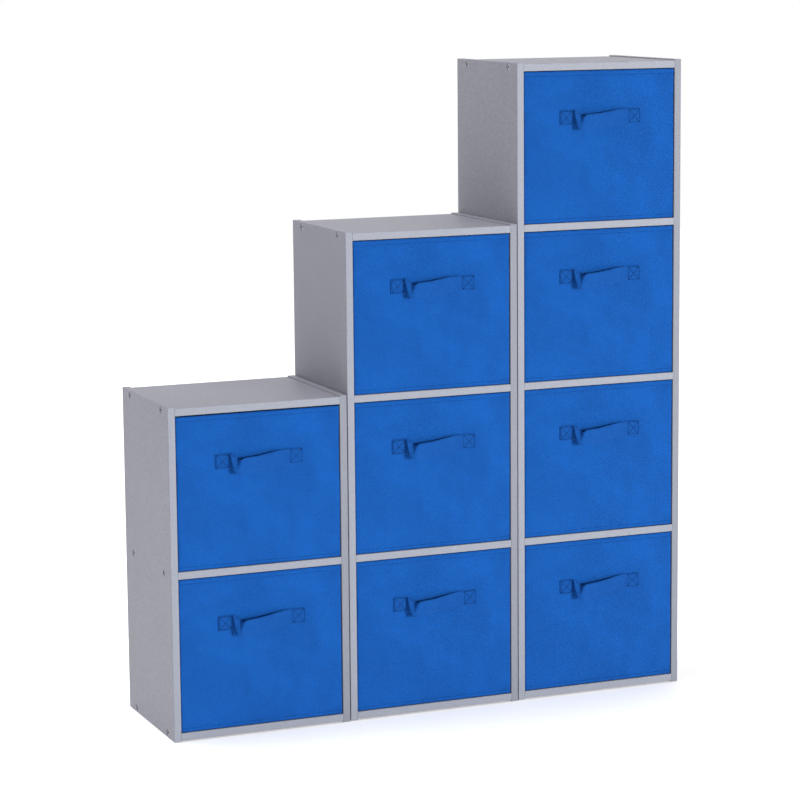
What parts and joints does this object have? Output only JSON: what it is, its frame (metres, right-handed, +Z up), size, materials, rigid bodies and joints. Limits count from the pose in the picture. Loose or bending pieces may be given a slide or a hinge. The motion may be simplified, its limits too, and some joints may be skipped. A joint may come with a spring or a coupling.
{
  "type": "cube storage unit",
  "caption": "Staircase cube storage: free-standing laminated towers of rising height side by side, each cell holding a pull-out fabric box with a strap handle.",
  "frame": {"origin": "on the floor, at the middle of the whole object's plan outline, straps included", "axes": "+X right, +Y back, +Z up; the open fronts face -Y"},
  "size_m": [0.904, 0.2555, 1.06],
  "materials": {
    "grey_laminate": "light grey melamine on particle board, satin, fine pebbled",
    "hardboard": "grey faced hardboard",
    "zinc_steel": "bright zinc plated",
    "blue_fabric": "royal blue non-woven fabric with a fine diagonal emboss",
    "grey_board": "plain grey board"
  },
  "bodies": {
    "cabinet": {"low_left_side": "grey_laminate", "low_right_side": "grey_laminate", "low_bottom": "grey_laminate", "low_top": "grey_laminate", "low_back": "hardboard", "low_shelf_1": "grey_laminate", "mid_left_side": "grey_laminate", "mid_right_side": "grey_laminate", "mid_bottom": "grey_laminate", "mid_top": "grey_laminate", "mid_back": "hardboard", "mid_shelf_1": "grey_laminate", "mid_shelf_2": "grey_laminate", "tall_left_side": "grey_laminate", "tall_right_side": "grey_laminate", "tall_bottom": "grey_laminate", "tall_top": "grey_laminate", "tall_back": "hardboard", "tall_shelf_1": "grey_laminate", "tall_shelf_2": "grey_laminate", "tall_shelf_3": "grey_laminate", "connecting_screws": "zinc_steel"},
    "low_box_1": {"low_box_1_cover": "blue_fabric", "low_box_1_wall_boards": "grey_board"},
    "low_box_1_base": {"low_box_1_base_board": "grey_board"},
    "low_box_1_handle": {"low_box_1_strap": "blue_fabric"},
    "low_box_2": {"low_box_2_cover": "blue_fabric", "low_box_2_wall_boards": "grey_board"},
    "low_box_2_base": {"low_box_2_base_board": "grey_board"},
    "low_box_2_handle": {"low_box_2_strap": "blue_fabric"},
    "mid_box_1": {"mid_box_1_cover": "blue_fabric", "mid_box_1_wall_boards": "grey_board"},
    "mid_box_1_base": {"mid_box_1_base_board": "grey_board"},
    "mid_box_1_handle": {"mid_box_1_strap": "blue_fabric"},
    "mid_box_2": {"mid_box_2_cover": "blue_fabric", "mid_box_2_wall_boards": "grey_board"},
    "mid_box_2_base": {"mid_box_2_base_board": "grey_board"},
    "mid_box_2_handle": {"mid_box_2_strap": "blue_fabric"},
    "mid_box_3": {"mid_box_3_cover": "blue_fabric", "mid_box_3_wall_boards": "grey_board"},
    "mid_box_3_base": {"mid_box_3_base_board": "grey_board"},
    "mid_box_3_handle": {"mid_box_3_strap": "blue_fabric"},
    "tall_box_1": {"tall_box_1_cover": "blue_fabric", "tall_box_1_wall_boards": "grey_board"},
    "tall_box_1_base": {"tall_box_1_base_board": "grey_board"},
    "tall_box_1_handle": {"tall_box_1_strap": "blue_fabric"},
    "tall_box_2": {"tall_box_2_cover": "blue_fabric", "tall_box_2_wall_boards": "grey_board"},
    "tall_box_2_base": {"tall_box_2_base_board": "grey_board"},
    "tall_box_2_handle": {"tall_box_2_strap": "blue_fabric"},
    "tall_box_3": {"tall_box_3_cover": "blue_fabric", "tall_box_3_wall_boards": "grey_board"},
    "tall_box_3_base": {"tall_box_3_base_board": "grey_board"},
    "tall_box_3_handle": {"tall_box_3_strap": "blue_fabric"},
    "tall_box_4": {"tall_box_4_cover": "blue_fabric", "tall_box_4_wall_boards": "grey_board"},
    "tall_box_4_base": {"tall_box_4_base_board": "grey_board"},
    "tall_box_4_handle": {"tall_box_4_strap": "blue_fabric"}
  },
  "joints": [
    {"name": "low_box_1_pull_out", "type": "slide", "parent": "cabinet", "child": "low_box_1", "axis": [0, -1, 0], "range_m": [0, 0.235]},
    {"name": "low_box_1_base_lift", "type": "slide", "parent": "low_box_1", "child": "low_box_1_base", "axis": [0, 0, 1], "range_m": [0, 0.24]},
    {"name": "low_box_1_handle_swing", "type": "hinge", "parent": "low_box_1", "child": "low_box_1_handle", "pos_m": [-0.302, -0.11475, 0.1985], "axis": [-1, 0, 0], "range_deg": [0, 75]},
    {"name": "low_box_2_pull_out", "type": "slide", "parent": "cabinet", "child": "low_box_2", "axis": [0, -1, 0], "range_m": [0, 0.235]},
    {"name": "low_box_2_base_lift", "type": "slide", "parent": "low_box_2", "child": "low_box_2_base", "axis": [0, 0, 1], "range_m": [0, 0.24]},
    {"name": "low_box_2_handle_swing", "type": "hinge", "parent": "low_box_2", "child": "low_box_2_handle", "pos_m": [-0.302, -0.11475, 0.4595], "axis": [-1, 0, 0], "range_deg": [0, 75]},
    {"name": "mid_box_1_pull_out", "type": "slide", "parent": "cabinet", "child": "mid_box_1", "axis": [0, -1, 0], "range_m": [0, 0.235]},
    {"name": "mid_box_1_base_lift", "type": "slide", "parent": "mid_box_1", "child": "mid_box_1_base", "axis": [0, 0, 1], "range_m": [0, 0.24]},
    {"name": "mid_box_1_handle_swing", "type": "hinge", "parent": "mid_box_1", "child": "mid_box_1_handle", "pos_m": [0, -0.11275, 0.1985], "axis": [-1, 0, 0], "range_deg": [0, 75]},
    {"name": "mid_box_2_pull_out", "type": "slide", "parent": "cabinet", "child": "mid_box_2", "axis": [0, -1, 0], "range_m": [0, 0.235]},
    {"name": "mid_box_2_base_lift", "type": "slide", "parent": "mid_box_2", "child": "mid_box_2_base", "axis": [0, 0, 1], "range_m": [0, 0.24]},
    {"name": "mid_box_2_handle_swing", "type": "hinge", "parent": "mid_box_2", "child": "mid_box_2_handle", "pos_m": [0, -0.11275, 0.4595], "axis": [-1, 0, 0], "range_deg": [0, 75]},
    {"name": "mid_box_3_pull_out", "type": "slide", "parent": "cabinet", "child": "mid_box_3", "axis": [0, -1, 0], "range_m": [0, 0.235]},
    {"name": "mid_box_3_base_lift", "type": "slide", "parent": "mid_box_3", "child": "mid_box_3_base", "axis": [0, 0, 1], "range_m": [0, 0.24]},
    {"name": "mid_box_3_handle_swing", "type": "hinge", "parent": "mid_box_3", "child": "mid_box_3_handle", "pos_m": [0, -0.11275, 0.7205], "axis": [-1, 0, 0], "range_deg": [0, 75]},
    {"name": "tall_box_1_pull_out", "type": "slide", "parent": "cabinet", "child": "tall_box_1", "axis": [0, -1, 0], "range_m": [0, 0.235]},
    {"name": "tall_box_1_base_lift", "type": "slide", "parent": "tall_box_1", "child": "tall_box_1_base", "axis": [0, 0, 1], "range_m": [0, 0.24]},
    {"name": "tall_box_1_handle_swing", "type": "hinge", "parent": "tall_box_1", "child": "tall_box_1_handle", "pos_m": [0.302, -0.11075, 0.1985], "axis": [-1, 0, 0], "range_deg": [0, 75]},
    {"name": "tall_box_2_pull_out", "type": "slide", "parent": "cabinet", "child": "tall_box_2", "axis": [0, -1, 0], "range_m": [0, 0.235]},
    {"name": "tall_box_2_base_lift", "type": "slide", "parent": "tall_box_2", "child": "tall_box_2_base", "axis": [0, 0, 1], "range_m": [0, 0.24]},
    {"name": "tall_box_2_handle_swing", "type": "hinge", "parent": "tall_box_2", "child": "tall_box_2_handle", "pos_m": [0.302, -0.11075, 0.4595], "axis": [-1, 0, 0], "range_deg": [0, 75]},
    {"name": "tall_box_3_pull_out", "type": "slide", "parent": "cabinet", "child": "tall_box_3", "axis": [0, -1, 0], "range_m": [0, 0.235]},
    {"name": "tall_box_3_base_lift", "type": "slide", "parent": "tall_box_3", "child": "tall_box_3_base", "axis": [0, 0, 1], "range_m": [0, 0.24]},
    {"name": "tall_box_3_handle_swing", "type": "hinge", "parent": "tall_box_3", "child": "tall_box_3_handle", "pos_m": [0.302, -0.11075, 0.7205], "axis": [-1, 0, 0], "range_deg": [0, 75]},
    {"name": "tall_box_4_pull_out", "type": "slide", "parent": "cabinet", "child": "tall_box_4", "axis": [0, -1, 0], "range_m": [0, 0.235]},
    {"name": "tall_box_4_base_lift", "type": "slide", "parent": "tall_box_4", "child": "tall_box_4_base", "axis": [0, 0, 1], "range_m": [0, 0.24]},
    {"name": "tall_box_4_handle_swing", "type": "hinge", "parent": "tall_box_4", "child": "tall_box_4_handle", "pos_m": [0.302, -0.11075, 0.9815], "axis": [-1, 0, 0], "range_deg": [0, 75]}
  ]
}
